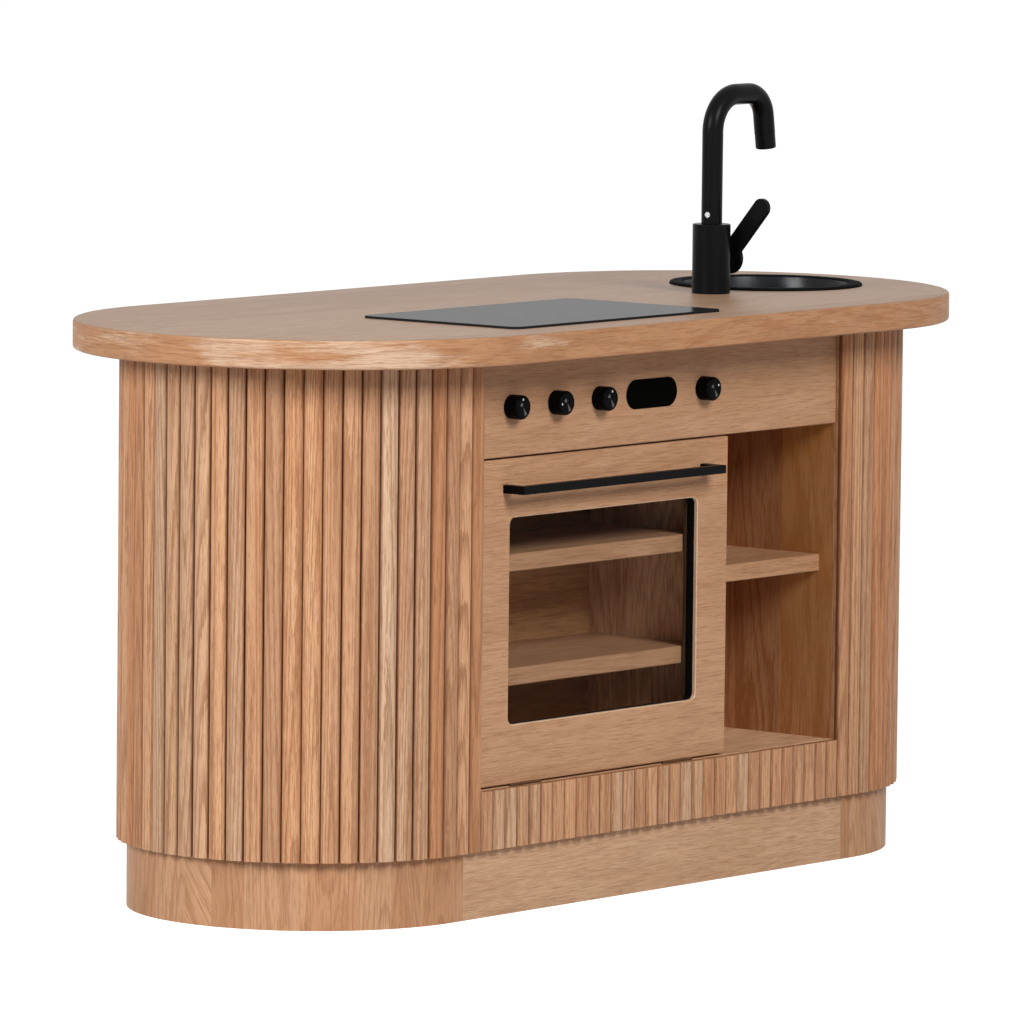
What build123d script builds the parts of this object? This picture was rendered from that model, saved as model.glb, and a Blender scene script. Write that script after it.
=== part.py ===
from build123d import *
import math
import os

# Oval play kitchen in solid oak: a slatted island with a hob, a lift-out basin,
# a swivelling tap, a control panel with four knobs and a drop-down oven door.
# Millimetres, +Z up. The front faces -Y and +X is to the right of someone using it.
# The origin is on the floor, under the middle of the worktop.

# Worktop
worktop_height = 600.0
worktop_thickness = 30.0
worktop_edge_round = 3.0
worktop_front_overhang = 61.0
worktop_end_overhang = 40.5

# Carcass: flat boards between the round ends, a plinth below
board = 18.0
plinth_height = 70.0
plinth_end_wall = 9.0
carcass_half_depth = 188.0
opening_half_width = 297.5
end_stub = 18.0
floor_board_top = 131.0
rear_ply = 9.0
oven_depth = 169.0
panel_height = 102.0
joint_gap = 2.0
side_gap = 1.0
shelf_thickness = 18.0
rail_width = 60.0
board_ease = 0.8

# Slatted skin
skin_thickness = 3.0
slat_side = 2.0
slat_rise = 6.0
slat_gap = 0.3
slat_spacing = 19.2
slat_end_ease = 1.0
strip_drop = 0.5

# Oven door
door_width = 409.0
window_width = 308.0
window_height = 212.0
window_corner = 8.0
rebate_corner = 9.0
door_corner = 1.5
window_lip = 4.2
seal_depth = 7.3
seal_width = 10.0
pane_thickness = 3.0
pane_gap = 0.5

# Handle
handle_length = 332.0
handle_section = 8.5
handle_reach = 27.7
handle_edge = 0.4
handle_screw_radius = 2.0
handle_screw_grip = 7.0
handle_screw_head_radius = 4.0
handle_screw_head = 1.6

# Hinges, catch and shelf pins
hinge_width = 50.0
hinge_leaf = 0.8
hinge_leaf_depth = 16.0
hinge_barrel_radius = 1.6
hinge_pin_radius = 0.8
hinge_play = 0.15
hinge_set_back = 1.0
hinge_spread = 250.0
knuckle_gap = 0.4
notch_clearance = 0.3
catch_length = 44.0
catch_height = 14.0
catch_depth = 16.0
strike_thickness = 1.2
strike_height = 8.0
catch_gap = 0.3
shelf_pin_radius = 2.5
shelf_pin_in_wall = 9.0
shelf_pin_under_shelf = 7.0
shelf_pin_inset = 25.0

# Shelves, by the height of their tops
oven_upper_shelf_top = 365.0
oven_lower_shelf_top = 248.0
open_shelf_top = 327.0

# Knobs and display
knob_radius = 12.5
knob_depth = 16.2
knob_edge = 2.8
knob_dish = 0.4
knob_rim = 3.1
knob_clearance = 0.4
knob_shaft_radius = 3.0
knob_clip_radius = 4.6
knob_clip_thickness = 1.6
dot_radius = 1.3
dot_depth = 0.6
dot_inset = 0.1
bush_radius = 5.0
bush_flange_radius = 8.0
bush_flange = 2.0
bush_play = 0.3
knob_pitch = 71.0
last_knob_right_of_door_middle = 160.0
display_width = 84.0
display_height = 30.6
display_depth = 2.0
display_recess = 1.5
display_right_of_door_middle = 74.5

# Hob
hob_width = 341.0
hob_depth = 206.0
hob_thickness = 2.5
hob_corner = 12.0
hob_edge = 0.4
hob_left_of_door_middle = 8.0
hob_y = -110.0

# Basin
basin_past_end_centre = 71.5
basin_y = -9.0
basin_mouth_radius = 92.0
basin_rim_width = 12.0
basin_rim_height = 3.0
basin_rim_round = 2.1
basin_wall = 1.5
basin_taper = 10.0
basin_depth = 58.0
basin_corner = 16.0
basin_clearance = 2.0

# Tap
tap_left_of_basin = 146.0
tap_before_basin = 39.0
tap_body_radius = 20.3
tap_body_height = 74.0
tap_body_edge = 0.8
tap_bore_radius = 8.4
tap_bore_depth = 30.0
spout_radius = 11.2
spout_wall = 1.6
spout_spigot_radius = 8.1
spout_spigot_length = 28.0
spout_first_bend = 39.0
spout_last_bend = 27.0
spout_lean = 8.0
spout_reach = 92.5
spout_height = 221.5
spout_clearance = 0.3
outlet_rise = 151.0
outlet_length = 16.0
outlet_radius = 11.0
outlet_mouth_radius = 7.5
set_screw_rise = 10.0
set_screw_radius = 3.0
set_screw_depth = 1.8
set_screw_proud = 0.5
set_screw_angle = 194.0
stud_radius = 5.0
stud_in_body = 20.0
stud_below_top = 54.0
washer_radius = 15.0
washer_thickness = 2.0
nut_across_flats = 17.0
nut_height = 8.0

# Tap lever
lever_rise = 36.0
lever_neck_radius = 9.0
lever_disc_radius = 17.0
lever_disc_from = 29.0
lever_disc_thickness = 5.5
lever_length = 83.0
lever_width = 20.0
lever_blade = 6.0
lever_blade_from = 23.0
lever_tilt = 40.0
lever_edge = 0.8
lever_clearance = 0.6
lever_screw_radius = 2.5
lever_screw_head_radius = 4.5
lever_screw_head = 3.0
lever_screw_play = 0.3
lever_screw_in_body = 12.0

# Fasteners under the worktop
worktop_screw_radius = 2.0
worktop_screw_head_radius = 4.0
worktop_screw_head = 2.5
worktop_screw_in_top = 15.0
worktop_screw_inset = 47.5
worktop_screws_along = 4

# Places worked out from the sizes above
worktop_underside = worktop_height - worktop_thickness
carcass_height = worktop_underside - plinth_height
carcass_outer_x = opening_half_width + board
end_centre_x = carcass_outer_x + end_stub
front_y = -carcass_half_depth
panel_back_y = front_y + board
inner_front_y = panel_back_y + joint_gap
oven_back_y = front_y + oven_depth
slat_back = carcass_half_depth + skin_thickness
slat_crest = slat_back + slat_side + slat_rise
worktop_half_depth = slat_crest + worktop_front_overhang
worktop_half_length = end_centre_x + slat_crest + worktop_end_overhang
slats_across_front = round(2 * opening_half_width / slat_spacing)
panel_bottom = worktop_underside - panel_height
panel_middle = panel_bottom + panel_height / 2
ceiling_bottom = panel_bottom + joint_gap
door_bottom = floor_board_top + joint_gap
door_top = panel_bottom - joint_gap
door_height = door_top - door_bottom
door_left = -opening_half_width + side_gap
door_x = door_left + door_width / 2
door_right = door_left + door_width
door_middle = door_bottom + door_height / 2
divider_left = door_right - board
top_rail_height = (door_height - window_height) / 2
handle_z = door_top - top_rail_height / 2
strip_top = floor_board_top - strip_drop
hinge_y = front_y + hinge_set_back
hinge_z = floor_board_top + joint_gap / 2
hinge_xs = (door_x - hinge_spread / 2, door_x + hinge_spread / 2)
knob_xs = (door_x - window_width / 2, door_x - window_width / 2 + knob_pitch,
           door_x - window_width / 2 + 2 * knob_pitch, door_x + last_knob_right_of_door_middle)
display_x = door_x + display_right_of_door_middle
hob_x = door_x - hob_left_of_door_middle
basin_x = end_centre_x + basin_past_end_centre
basin_rim_radius = basin_mouth_radius + basin_rim_width
basin_floor_radius = basin_mouth_radius - basin_taper
basin_well_radius = basin_mouth_radius - basin_taper * worktop_thickness / basin_depth + basin_clearance
tap_x = basin_x - tap_left_of_basin
tap_y = basin_y - tap_before_basin
tap_top = worktop_height + tap_body_height
spout_top = worktop_height + spout_height
outlet_bottom = worktop_height + outlet_rise
lever_height = worktop_height + lever_rise
set_screw_height = tap_top + set_screw_rise
screw_reach = opening_half_width - worktop_screw_inset
worktop_screw_xs = [-screw_reach + number * 2 * screw_reach / (worktop_screws_along - 1)
                    for number in range(worktop_screws_along)]

os.makedirs("parts", exist_ok=True)


def save(piece, name):
    """Label a finished piece and write it to its own file."""
    piece.label = name
    export_step(piece, f"parts/{name}.step")


def stadium(half_straight, radius, cut=False):
    """A flat oval outline: two half circles joined by straight sides."""
    SlotCenterToCenter(2 * half_straight, 2 * radius, mode=Mode.SUBTRACT if cut else Mode.ADD)


def end_half(side, from_x, reach=700.0):
    """Keep only what lies beyond from_x on one side, -1 for left and +1 for right."""
    with Locations((side * (from_x + reach / 2), 0)):
        Rectangle(reach, reach, mode=Mode.INTERSECT)


def board_between(x0, x1, y0, y1, z0, z1):
    """A plain board given by its six faces."""
    with Locations(((x0 + x1) / 2, (y0 + y1) / 2, (z0 + z1) / 2)):
        Box(x1 - x0, y1 - y0, z1 - z0)


def ease_front(part, y, size, *ways):
    """Chamfer the front edges of a board, those that run along the given axes."""
    for way in ways:
        front_edges = [edge for edge in part.edges().filter_by(way) if abs(edge.center().Y - y) < size]
        chamfer(front_edges, size)


def cut_basin_well():
    """Room for the basin's bowl in whatever stands under the worktop."""
    with Locations((basin_x, basin_y, worktop_underside)):
        Cylinder(basin_well_radius, 2 * basin_depth, mode=Mode.SUBTRACT)


# Plinth: straight boards at the front and back, bent laminated ends, cross rails inside
for name, y0 in (("plinth_front", front_y), ("plinth_rear", carcass_half_depth - board)):
    with BuildPart() as plinth_board:
        board_between(-carcass_outer_x, carcass_outer_x, y0, y0 + board, 0, plinth_height)
    save(plinth_board.part, name)

for name, side in (("plinth_left_end", -1), ("plinth_right_end", 1)):
    with BuildPart() as plinth_end:
        with BuildSketch():
            stadium(end_centre_x, carcass_half_depth)
            stadium(end_centre_x, carcass_half_depth - plinth_end_wall, cut=True)
            end_half(side, carcass_outer_x)
        extrude(amount=plinth_height)
    save(plinth_end.part, name)

cross_rail_x = carcass_outer_x / 2
with BuildPart() as plinth_cross_rails:
    for x in (-cross_rail_x, cross_rail_x):
        board_between(x - board / 2, x + board / 2, panel_back_y, -panel_back_y, 0, plinth_height)
save(plinth_cross_rails.part, "plinth_cross_rails")

# Side panels: they stand on the plinth and carry every inner board on pins and dowels
shelf_tops = {"oven_upper_shelf": oven_upper_shelf_top,
              "oven_lower_shelf": oven_lower_shelf_top,
              "open_shelf": open_shelf_top}
shelf_walls = {"oven_upper_shelf": (-opening_half_width, divider_left),
               "oven_lower_shelf": (-opening_half_width, divider_left),
               "open_shelf": (door_right, opening_half_width)}
pin_ys = (inner_front_y + shelf_pin_inset, oven_back_y - shelf_pin_inset)


def pin_places():
    """Centres of the shelf pins: wall face, depth, height and the way into the wall."""
    for shelf, top in shelf_tops.items():
        pin_z = top - shelf_thickness - shelf_pin_radius
        left_wall, right_wall = shelf_walls[shelf]
        for pin_y in pin_ys:
            yield left_wall, pin_y, pin_z, -1
            yield right_wall, pin_y, pin_z, 1


def pin_solid(wall_x, pin_y, pin_z, way, length_in, length_out, radius):
    """A round pin lying along X, reaching into the wall and out of its face."""
    middle = wall_x + way * (length_in - length_out) / 2
    with Locations(Location((middle, pin_y, pin_z), (0, 90, 0))):
        Cylinder(radius, length_in + length_out)


def cut_pin_holes(face_x, way):
    """Blind holes for the pins that rest in one face of a panel."""
    for wall_x, pin_y, pin_z, pin_way in pin_places():
        if wall_x == face_x and pin_way == way:
            middle = wall_x + way * shelf_pin_in_wall / 2
            with Locations(Location((middle, pin_y, pin_z), (0, 90, 0))):
                Cylinder(shelf_pin_radius, shelf_pin_in_wall, mode=Mode.SUBTRACT)


for name, side in (("left_side_panel", -1), ("right_side_panel", 1)):
    inner, outer = sorted((side * opening_half_width, side * carcass_outer_x))
    with BuildPart() as side_panel:
        board_between(inner, outer, front_y, carcass_half_depth, plinth_height, worktop_underside)
        ease_front(side_panel, front_y, board_ease, Axis.Z)
        cut_pin_holes(side * opening_half_width, side)
        cut_basin_well()
    save(side_panel.part, name)

# Divider between the oven and the open compartment, hidden behind the door's right edge
with BuildPart() as divider:
    board_between(divider_left, door_right, inner_front_y, oven_back_y, floor_board_top, ceiling_bottom)
    cut_pin_holes(divider_left, 1)
    cut_pin_holes(door_right, -1)
save(divider.part, "divider_panel")

# Inner back of the oven and compartment, and the rear panel that carries the rear slats
with BuildPart() as inner_back:
    board_between(-opening_half_width, opening_half_width, oven_back_y, oven_back_y + rear_ply,
                  floor_board_top, ceiling_bottom)
save(inner_back.part, "inner_back_panel")

with BuildPart() as rear_panel:
    board_between(-opening_half_width, opening_half_width, carcass_half_depth - board,
                  carcass_half_depth, plinth_height, worktop_underside)
save(rear_panel.part, "rear_panel")

# Floor board of the compartments, with shallow notches at its front edge for the hinge barrels
notch_radius = hinge_barrel_radius + notch_clearance
with BuildPart() as floor_board:
    board_between(-opening_half_width, opening_half_width, front_y, carcass_half_depth - board,
                  floor_board_top - board, floor_board_top)
    for x in hinge_xs:
        with Locations(Location((x, hinge_y, hinge_z), (0, 90, 0))):
            Cylinder(notch_radius, hinge_width + joint_gap, mode=Mode.SUBTRACT)
save(floor_board.part, "floor_board")

with BuildPart() as front_apron:
    board_between(-opening_half_width, opening_half_width, front_y, panel_back_y,
                  plinth_height, floor_board_top - board)
save(front_apron.part, "front_apron")

# Ceiling board over the oven and compartment
with BuildPart() as ceiling_board:
    board_between(-opening_half_width, opening_half_width, panel_back_y, oven_back_y + rear_ply,
                  ceiling_bottom, ceiling_bottom + board)
save(ceiling_board.part, "ceiling_board")

# Rails under the worktop, screwed up into it
rail_front_y = (panel_back_y, panel_back_y + rail_width)
rail_rear_y = (carcass_half_depth - board - rail_width, carcass_half_depth - board)
screw_ys = (sum(rail_front_y) / 2, sum(rail_rear_y) / 2)
screw_places = [(x, y) for x in worktop_screw_xs for y in screw_ys]
with BuildPart() as top_rails:
    for y0, y1 in (rail_front_y, rail_rear_y):
        board_between(-opening_half_width, opening_half_width, y0, y1,
                      worktop_underside - board, worktop_underside)
    with Locations([(x, y, worktop_underside - board / 2) for x, y in screw_places]):
        Cylinder(worktop_screw_radius, board, mode=Mode.SUBTRACT)
save(top_rails.part, "top_rails")

with BuildPart() as worktop_screws:
    for x, y in screw_places:
        shank = board + worktop_screw_in_top
        with Locations((x, y, worktop_underside - board + shank / 2)):
            Cylinder(worktop_screw_radius, shank)
        with Locations((x, y, worktop_underside - board - worktop_screw_head / 2)):
            Cylinder(worktop_screw_head_radius, worktop_screw_head)
save(worktop_screws.part, "worktop_screws")

# Half-round formers that carry the curved skin at each end, at the foot, middle and top.
# The one under the basin has a round well for the bowl.
former_zs = (plinth_height, plinth_height + (carcass_height - board) / 2, worktop_underside - board)


def half_round_former(side, z):
    """A board cut to the inside of the curved skin."""
    with BuildSketch(Plane.XY.offset(z)) as former_outline:
        stadium(end_centre_x, carcass_half_depth)
        end_half(side, carcass_outer_x)
    extrude(former_outline.sketch, amount=board)


with BuildPart() as end_formers:
    for z in former_zs:
        half_round_former(-1, z)
    for z in former_zs[:-1]:
        half_round_former(1, z)
save(end_formers.part, "end_formers")

with BuildPart() as basin_former:
    half_round_former(1, former_zs[-1])
    cut_basin_well()
save(basin_former.part, "basin_former")

# Bent plywood skins: one round each end, a flat one at the back and a strip at the front
for name, side in (("left_skin", -1), ("right_skin", 1)):
    with BuildPart() as skin:
        with BuildSketch(Plane.XY.offset(plinth_height)):
            stadium(end_centre_x, slat_back)
            stadium(end_centre_x, carcass_half_depth, cut=True)
            end_half(side, carcass_outer_x)
            with Locations((side * (opening_half_width + board / 2), -(slat_back - skin_thickness / 2))):
                Rectangle(board, skin_thickness)
        extrude(amount=carcass_height)
    save(skin.part, name)

with BuildPart() as rear_skin:
    board_between(-carcass_outer_x, carcass_outer_x, carcass_half_depth, slat_back,
                  plinth_height, worktop_underside)
save(rear_skin.part, "rear_skin")

with BuildPart() as strip_skin:
    board_between(-opening_half_width, opening_half_width, -slat_back, front_y, plinth_height, strip_top)
save(strip_skin.part, "front_strip_skin")

# Slats: one moulded section, set side by side along the outside of the skin.
# The run starts at the front opening, goes round one end, along the back and round the other.
front_stub = end_centre_x - opening_half_width
end_arc = math.pi * slat_back
whole_run = 2 * front_stub + 2 * end_arc + 2 * end_centre_x
slat_count = round(whole_run / (2 * opening_half_width / slats_across_front))
slat_pitch = whole_run / slat_count
strip_pitch = 2 * opening_half_width / slats_across_front
slat_width = min(slat_pitch, strip_pitch) - slat_gap
end_slats = round((front_stub + end_arc + board) / slat_pitch)

with BuildSketch() as slat_section:
    with BuildLine():
        Polyline((slat_width / 2, slat_side), (slat_width / 2, 0),
                 (-slat_width / 2, 0), (-slat_width / 2, slat_side))
        ThreePointArc((-slat_width / 2, slat_side), (0, slat_side + slat_rise),
                      (slat_width / 2, slat_side))
    make_face()


def slat_of_length(length):
    """One slat standing on the floor plane, its crest eased at both ends."""
    with BuildPart() as slat:
        with BuildSketch():
            add(slat_section.sketch)
        extrude(amount=length)
        chamfer(slat.edges().filter_by(GeomType.CIRCLE), slat_end_ease)
    return slat.part


def slat_location(distance):
    """Place and turn of a slat whose middle is this far along the run from the left opening."""
    if distance < front_stub:
        return Location((-opening_half_width - distance, -slat_back, plinth_height), (0, 0, 180))
    past_stub = distance - front_stub
    if past_stub < end_arc:
        turn = past_stub / slat_back
        x = -end_centre_x - slat_back * math.sin(turn)
        y = -slat_back * math.cos(turn)
        return Location((x, y, plinth_height), (0, 0, 180 - math.degrees(turn)))
    past_arc = past_stub - end_arc
    return Location((-end_centre_x + past_arc, slat_back, plinth_height))


def mirrored(place):
    """The same slat on the right-hand side."""
    at = place.position
    return Location((-at.X, at.Y, at.Z), (0, 0, -place.orientation.Z))


run_places = [slat_location((number + 0.5) * slat_pitch) for number in range(slat_count - end_slats)]
left_places = run_places[:end_slats]
slat_groups = {"left_slats": left_places,
               "right_slats": [mirrored(place) for place in left_places],
               "rear_slats": run_places[end_slats:]}
tall_slat = slat_of_length(carcass_height)
for name, places in slat_groups.items():
    save(Compound([tall_slat.moved(place) for place in places]), name)

strip_places = [Location((-opening_half_width + (number + 0.5) * strip_pitch, -slat_back, plinth_height),
                         (0, 0, 180)) for number in range(slats_across_front)]
short_slat = slat_of_length(strip_top - plinth_height)
save(Compound([short_slat.moved(place) for place in strip_places]), "front_slats")

# Worktop: an oval board with eased edges, a round cut-out for the basin and a hole for the tap
basin_hole_radius = basin_mouth_radius + basin_clearance
with BuildPart() as worktop:
    with BuildSketch(Plane.XY.offset(worktop_underside)):
        stadium(worktop_half_length - worktop_half_depth, worktop_half_depth)
    extrude(amount=worktop_thickness)
    fillet(worktop.edges().filter_by(Plane.XY), worktop_edge_round)
    with Locations((basin_x, basin_y, worktop_underside)):
        Cylinder(basin_hole_radius, 3 * worktop_thickness, mode=Mode.SUBTRACT)
    with Locations((tap_x, tap_y, worktop_underside)):
        Cylinder(stud_radius, 3 * worktop_thickness, mode=Mode.SUBTRACT)
    with Locations([(x, y, worktop_underside + worktop_screw_in_top / 2) for x, y in screw_places]):
        Cylinder(worktop_screw_radius, worktop_screw_in_top, mode=Mode.SUBTRACT)
save(worktop.part, "worktop")

# Hob: a thin sheet laid on the worktop
with BuildPart() as hob_plate:
    with BuildSketch(Plane.XY.offset(worktop_height)):
        with Locations((hob_x, hob_y)):
            RectangleRounded(hob_width, hob_depth, hob_corner)
    extrude(amount=hob_thickness)
    chamfer(hob_plate.faces().sort_by(Axis.Z)[-1].edges(), hob_edge)
save(hob_plate.part, "hob_plate")

# Shelves and their pins
for name, top in shelf_tops.items():
    left_wall, right_wall = shelf_walls[name]
    with BuildPart() as shelf:
        board_between(left_wall, right_wall, inner_front_y, oven_back_y, top - shelf_thickness, top)
        ease_front(shelf, inner_front_y, board_ease, Axis.X)
    save(shelf.part, name)

with BuildPart() as shelf_pins:
    for wall_x, pin_y, pin_z, way in pin_places():
        pin_solid(wall_x, pin_y, pin_z, way, shelf_pin_in_wall, shelf_pin_under_shelf, shelf_pin_radius)
save(shelf_pins.part, "shelf_pins")

# Control panel with a shallow pocket for the display and four holes for the knob bushes
front_plane = Plane(origin=(0, front_y, 0), x_dir=(1, 0, 0), z_dir=(0, -1, 0))
with BuildPart() as control_panel:
    board_between(-opening_half_width + side_gap, opening_half_width - side_gap,
                  front_y, panel_back_y, panel_bottom, worktop_underside)
    ease_front(control_panel, front_y, board_ease, Axis.X)
    with BuildSketch(front_plane):
        with Locations((display_x, panel_middle)):
            SlotOverall(display_width, display_height)
    extrude(amount=-display_recess, mode=Mode.SUBTRACT)
    with Locations([Location((x, front_y + board / 2, panel_middle), (90, 0, 0)) for x in knob_xs]):
        Cylinder(bush_radius, board, mode=Mode.SUBTRACT)
save(control_panel.part, "control_panel")

with BuildPart() as display_lens:
    with BuildSketch(front_plane.offset(-display_recess)):
        with Locations((display_x, panel_middle)):
            SlotOverall(display_width, display_height)
    extrude(amount=display_depth)
save(display_lens.part, "display_lens")

# Flanged bushes that line the knob holes
with BuildPart() as knob_bushes:
    for x in knob_xs:
        with Locations(Location((x, front_y + board / 2, panel_middle), (90, 0, 0))):
            Cylinder(bush_radius, board)
        with Locations(Location((x, panel_back_y + bush_flange / 2, panel_middle), (90, 0, 0))):
            Cylinder(bush_flange_radius, bush_flange)
        with Locations(Location((x, front_y + board / 2, panel_middle), (90, 0, 0))):
            Cylinder(knob_shaft_radius + bush_play, 2 * board, mode=Mode.SUBTRACT)
save(knob_bushes.part, "knob_bushes")

# Knobs: a turned cap with a dished face and a shaft held behind the panel by a clip.
# The small pocket near the rim takes the white indicator dot, which differs from knob to knob.
knob_face_y = front_y - knob_depth
knob_back_y = front_y - knob_clearance
clip_y = panel_back_y + bush_flange + knob_clearance
dot_ring = knob_radius - knob_rim - dot_radius - dot_inset
dot_clock_angles = (90.0, 185.0, 72.0, 27.0)
for number, (x, dot_angle) in enumerate(zip(knob_xs, dot_clock_angles), start=1):
    with BuildPart() as knob:
        with BuildSketch(Plane(origin=(x, 0, panel_middle), x_dir=(1, 0, 0), z_dir=(0, 0, 1))):
            with BuildLine():
                Polyline((0, knob_face_y + knob_dish), (knob_radius - knob_rim, knob_face_y + knob_dish),
                         (knob_radius - knob_rim, knob_face_y), (knob_radius - knob_edge, knob_face_y))
                CenterArc((knob_radius - knob_edge, knob_face_y + knob_edge), knob_edge, -90, 90)
                Polyline((knob_radius, knob_face_y + knob_edge), (knob_radius, knob_back_y),
                         (knob_shaft_radius, knob_back_y), (knob_shaft_radius, clip_y),
                         (knob_clip_radius, clip_y), (knob_clip_radius, clip_y + knob_clip_thickness),
                         (0, clip_y + knob_clip_thickness), (0, knob_face_y + knob_dish))
            make_face()
        revolve(axis=Axis((x, 0, panel_middle), (0, 1, 0)))
        dot_x = x + dot_ring * math.cos(math.radians(dot_angle))
        dot_z = panel_middle + dot_ring * math.sin(math.radians(dot_angle))
        with Locations(Location((dot_x, knob_face_y + knob_dish, dot_z), (90, 0, 0))):
            Cylinder(dot_radius, 2 * dot_depth, mode=Mode.SUBTRACT)
    save(knob.part, f"knob_{number}")

# Oven door: an inset board with a rounded window. A thin lip shows at the front;
# the seal, the pane and the glazing beads sit behind it in a wider rebate.
rebate_width = window_width + 2 * seal_width
rebate_height = window_height + 2 * seal_width
lip_back_plane = front_plane.offset(-window_lip)
handle_xs = (door_x - (handle_length - handle_section) / 2, door_x + (handle_length - handle_section) / 2)
with BuildPart() as oven_door:
    board_between(door_left, door_right, front_y, panel_back_y, door_bottom, door_top)
    fillet(oven_door.edges().filter_by(Axis.Y), door_corner)
    with BuildSketch(front_plane):
        with Locations((door_x, door_middle)):
            RectangleRounded(window_width, window_height, window_corner)
    extrude(amount=-board, mode=Mode.SUBTRACT)
    chamfer(oven_door.faces().sort_by(Axis.Y)[0].edges(), board_ease)
    with BuildSketch(lip_back_plane):
        with Locations((door_x, door_middle)):
            RectangleRounded(rebate_width, rebate_height, rebate_corner)
    extrude(amount=-(board - window_lip), mode=Mode.SUBTRACT)
    for x in hinge_xs:
        with Locations(Location((x, hinge_y, hinge_z), (0, 90, 0))):
            Cylinder(notch_radius, hinge_width + joint_gap, mode=Mode.SUBTRACT)
    for x in handle_xs:
        with Locations(Location((x, front_y + board / 2, handle_z), (90, 0, 0))):
            Cylinder(handle_screw_radius, board, mode=Mode.SUBTRACT)
save(oven_door.part, "oven_door")

with BuildPart() as window_seal:
    with BuildSketch(lip_back_plane):
        with Locations((door_x, door_middle)):
            RectangleRounded(rebate_width, rebate_height, rebate_corner)
            RectangleRounded(window_width, window_height, window_corner, mode=Mode.SUBTRACT)
    extrude(amount=-seal_depth)
save(window_seal.part, "window_seal")

pane_front = window_lip + seal_depth
with BuildPart() as door_pane:
    with BuildSketch(front_plane.offset(-pane_front)):
        with Locations((door_x, door_middle)):
            RectangleRounded(rebate_width - 2 * pane_gap, rebate_height - 2 * pane_gap, rebate_corner)
    extrude(amount=-pane_thickness)
save(door_pane.part, "door_pane")

# Four glazing beads hold the pane from behind
bead_back_y = panel_back_y
bead_front_y = front_y + pane_front + pane_thickness
with BuildPart() as pane_beads:
    inner_x, outer_x = window_width / 2, rebate_width / 2
    inner_z, outer_z = window_height / 2, rebate_height / 2
    for side in (-1, 1):
        x0, x1 = sorted((door_x + side * inner_x, door_x + side * outer_x))
        board_between(x0, x1, bead_front_y, bead_back_y, door_middle - inner_z, door_middle + inner_z)
        z0, z1 = sorted((door_middle + side * (inner_z + pane_gap), door_middle + side * outer_z))
        board_between(door_x - outer_x + rebate_corner, door_x + outer_x - rebate_corner,
                      bead_front_y, bead_back_y, z0, z1)
save(pane_beads.part, "pane_beads")

# Handle: a square bar returned to the door at both ends, screwed from behind
handle_front_y = front_y - handle_reach
with BuildPart() as door_handle:
    with BuildSketch(Plane.XY.offset(handle_z - handle_section / 2)):
        with Locations((door_x, front_y - handle_reach / 2)):
            Rectangle(handle_length, handle_reach)
        with Locations((door_x, front_y - (handle_reach - handle_section) / 2)):
            Rectangle(handle_length - 2 * handle_section, handle_reach - handle_section,
                      mode=Mode.SUBTRACT)
    extrude(amount=handle_section)
    chamfer(door_handle.edges().filter_by(Axis.X).group_by(Axis.Y)[0], handle_edge)
    for x in handle_xs:
        with Locations(Location((x, front_y - handle_screw_grip / 2, handle_z), (90, 0, 0))):
            Cylinder(handle_screw_radius, handle_screw_grip, mode=Mode.SUBTRACT)
save(door_handle.part, "door_handle")

with BuildPart() as handle_screws:
    for x in handle_xs:
        shank = board + handle_screw_grip
        with Locations(Location((x, panel_back_y - shank / 2, handle_z), (90, 0, 0))):
            Cylinder(handle_screw_radius, shank)
        with Locations(Location((x, panel_back_y + handle_screw_head / 2, handle_z), (90, 0, 0))):
            Cylinder(handle_screw_head_radius, handle_screw_head)
save(handle_screws.part, "handle_screws")

# Butt hinges in the gap under the door: three knuckles on one pin, the middle one on the door
knuckle = hinge_width / 3


def hinge_leaf_at(x0, x1, side, bore):
    """A leaf with its knuckle: side -1 lies on the floor board, +1 under the door."""
    z0, z1 = sorted((hinge_z + side * joint_gap / 2, hinge_z + side * (joint_gap / 2 - hinge_leaf)))
    board_between(x0, x1, hinge_y, hinge_y + hinge_leaf_depth, z0, z1)
    with Locations(Location(((x0 + x1) / 2, hinge_y, hinge_z), (0, 90, 0))):
        Cylinder(hinge_barrel_radius, x1 - x0)
        Cylinder(bore, x1 - x0, mode=Mode.SUBTRACT)


with BuildPart() as cabinet_leaves:
    for x in hinge_xs:
        hinge_leaf_at(x - hinge_width / 2, x - knuckle / 2, -1, hinge_pin_radius)
        hinge_leaf_at(x + knuckle / 2, x + hinge_width / 2, -1, hinge_pin_radius)
        board_between(x - hinge_width / 2, x + hinge_width / 2, hinge_y + hinge_barrel_radius + joint_gap,
                      hinge_y + hinge_leaf_depth, floor_board_top, floor_board_top + hinge_leaf)
save(cabinet_leaves.part, "cabinet_hinge_leaves")

with BuildPart() as door_leaves:
    for x in hinge_xs:
        hinge_leaf_at(x - knuckle / 2 + knuckle_gap, x + knuckle / 2 - knuckle_gap, 1,
                      hinge_pin_radius + hinge_play)
        board_between(x - hinge_width / 2, x + hinge_width / 2, hinge_y + hinge_barrel_radius + joint_gap,
                      hinge_y + hinge_leaf_depth, door_bottom - hinge_leaf, door_bottom)
save(door_leaves.part, "door_hinge_leaves")

with BuildPart() as hinge_pins:
    for x in hinge_xs:
        with Locations(Location((x, hinge_y, hinge_z), (0, 90, 0))):
            Cylinder(hinge_pin_radius, hinge_width)
save(hinge_pins.part, "hinge_pins")

# Magnetic catch under the ceiling board and its strike plate on the door
strike_back_y = panel_back_y + strike_thickness
catch_front_y = strike_back_y + catch_gap
with BuildPart() as magnet_catch:
    board_between(door_x - catch_length / 2, door_x + catch_length / 2, catch_front_y,
                  catch_front_y + catch_depth, ceiling_bottom - catch_height, ceiling_bottom)
    chamfer(magnet_catch.edges().filter_by(Axis.Y).group_by(Axis.Z)[0], catch_height / 4)
save(magnet_catch.part, "magnet_catch")

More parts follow.
